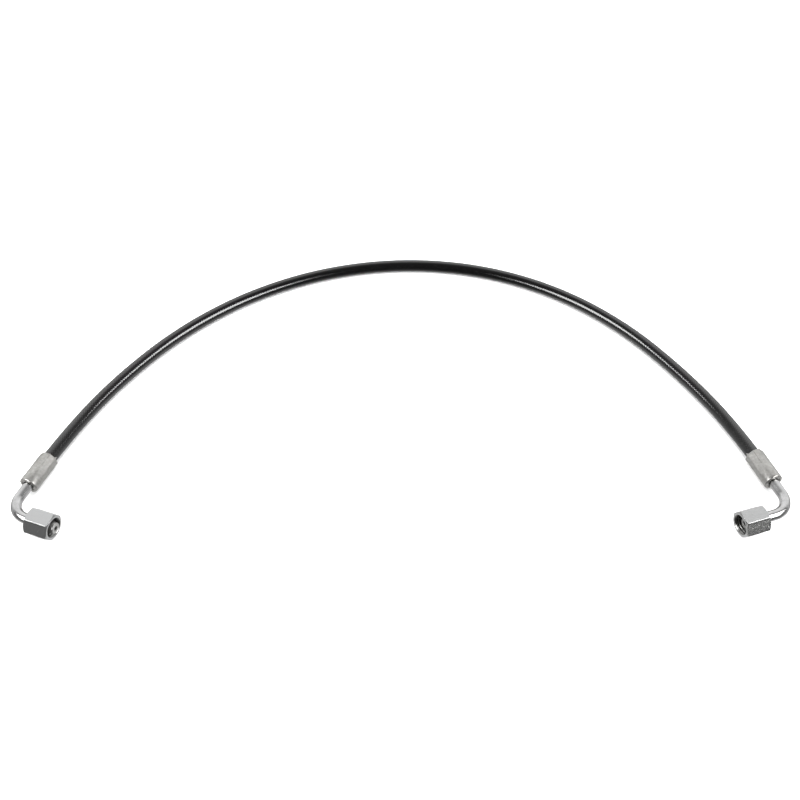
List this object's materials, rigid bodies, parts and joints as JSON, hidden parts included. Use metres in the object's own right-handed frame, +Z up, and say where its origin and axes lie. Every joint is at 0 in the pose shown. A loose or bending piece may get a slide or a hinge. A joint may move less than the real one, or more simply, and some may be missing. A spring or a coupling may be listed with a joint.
{
  "type": "hydraulic hose assembly",
  "caption": "Black wire-braided hydraulic hose bent in a bow, with crimped ferrules, bent steel elbow tubes and loose hexagonal swivel nuts over sealing cone noses.",
  "frame": {"origin": "middle of the two fittings' footprint, on the plane that the nuts lie on", "axes": "+X from the left end to the right end, +Y from the fittings towards the crown of the hose, +Z up"},
  "size_m": [0.6808, 0.3498, 0.022],
  "materials": {
    "cover_rubber": "black synthetic rubber with a fine cloth-wrapped impression, satin",
    "braid_wire": "brass-coated high-tensile wire braid",
    "lining_rubber": "smooth oil-proof rubber",
    "ferrule_zinc": "zinc plated, matt, with crimping flats",
    "tube_zinc": "zinc plated tube, bright",
    "nut_zinc": "zinc plated drawn hexagon, satin flats and bright chamfers",
    "turned_steel": "turned and zinc plated",
    "seal_rubber": "smooth black seal rubber",
    "braze": "brazing filler"
  },
  "bodies": {
    "hose_and_fittings": {"hose_inner_tube": "lining_rubber", "hose_wire_braid": "braid_wire", "hose_outer_cover": "cover_rubber", "left_ferrule": "ferrule_zinc", "left_hose_stem": "turned_steel", "left_stem_braze_ring": "braze", "left_elbow_tube": "tube_zinc", "left_nose_braze_ring": "braze", "left_cone_nose": "turned_steel", "left_nose_o_ring": "seal_rubber", "right_ferrule": "ferrule_zinc", "right_hose_stem": "turned_steel", "right_stem_braze_ring": "braze", "right_elbow_tube": "tube_zinc", "right_nose_braze_ring": "braze", "right_cone_nose": "turned_steel", "right_nose_o_ring": "seal_rubber"},
    "left_thrust_ring": {"left_thrust_ring": "turned_steel"},
    "left_swivel_nut": {"left_swivel_nut": "nut_zinc"},
    "right_thrust_ring": {"right_thrust_ring": "turned_steel"},
    "right_swivel_nut": {"right_swivel_nut": "nut_zinc"}
  },
  "joints": [
    {"name": "left_nut_slide", "type": "slide", "parent": "hose_and_fittings", "child": "left_thrust_ring", "axis": [0.9397, -0.342, 0], "range_m": [-0.0043, 0.006]},
    {"name": "left_nut_spin", "type": "hinge", "parent": "left_thrust_ring", "child": "left_swivel_nut", "pos_m": [-0.30189, -0.03093, 0.011], "axis": [0.9397, -0.342, 0], "continuous": true},
    {"name": "right_nut_slide", "type": "slide", "parent": "hose_and_fittings", "child": "right_thrust_ring", "axis": [-0.9553, -0.2957, 0], "range_m": [-0.0103, 0]},
    {"name": "right_nut_spin", "type": "hinge", "parent": "right_thrust_ring", "child": "right_swivel_nut", "pos_m": [0.30075, -0.03141, 0.011], "axis": [-0.9553, -0.2957, 0], "continuous": true}
  ]
}
